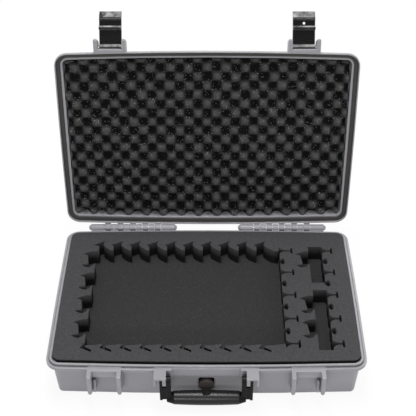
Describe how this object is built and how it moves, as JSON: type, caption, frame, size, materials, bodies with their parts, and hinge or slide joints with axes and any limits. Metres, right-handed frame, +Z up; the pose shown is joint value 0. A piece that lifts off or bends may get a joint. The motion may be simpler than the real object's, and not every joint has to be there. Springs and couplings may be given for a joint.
{
  "type": "laptop hard case",
  "caption": "Hard case for a laptop, standing open, with cut foam pockets, an egg-crate foam lid, side hinges, throw latches and a folding handle.",
  "frame": {"origin": "middle of the flat underside of the base, which rests on the table", "axes": "+Z up; +X to the right along the front as seen from the handle side; +Y from the handle at the front towards the hinges at the back"},
  "size_m": [0.477, 0.4324, 0.4376],
  "materials": {
    "shell": "satin",
    "black_plastic": "satin",
    "grip_rubber": "matte",
    "seal": "matte",
    "steel": "satin",
    "foam": "matte"
  },
  "bodies": {
    "base": {"base_shell": "shell", "hinge_pin_left": "steel", "hinge_pin_right": "steel", "handle_pin_left": "steel", "handle_pin_right": "steel", "valve_body": "black_plastic", "valve_ring": "seal", "valve_nut": "black_plastic", "floor_foam": "foam", "pocket_foam": "foam"},
    "lid": {"lid_shell": "shell", "lid_seal": "seal", "lid_foam": "foam", "latch_pin_left": "steel", "latch_pin_right": "steel"},
    "latch_left": {"latch_left": "black_plastic"},
    "latch_right": {"latch_right": "black_plastic"},
    "handle": {"handle_frame": "black_plastic", "handle_grip": "grip_rubber"},
    "valve_knob": {"valve_knob": "black_plastic"}
  },
  "joints": [
    {"name": "lid_hinge", "type": "hinge", "parent": "base", "child": "lid", "pos_m": [0, 0.16725, 0.069], "axis": [1, 0, 0], "range_deg": [0, 95.4]},
    {"name": "latch_left_pivot", "type": "hinge", "parent": "lid", "child": "latch_left", "pos_m": [-0.15, 0.21107, 0.39443], "axis": [1, 0, 0], "range_deg": [0, 115]},
    {"name": "latch_right_pivot", "type": "hinge", "parent": "lid", "child": "latch_right", "pos_m": [0.15, 0.21107, 0.39443], "axis": [1, 0, 0], "range_deg": [0, 115]},
    {"name": "handle_pivot", "type": "hinge", "parent": "base", "child": "handle", "pos_m": [0, -0.17025, 0.061], "axis": [1, 0, 0], "range_deg": [-90, 3]},
    {"name": "valve_knob_turn", "type": "hinge", "parent": "base", "child": "valve_knob", "pos_m": [0, -0.15, 0.031], "axis": [0, -1, 0], "range_deg": [0, 180]}
  ]
}
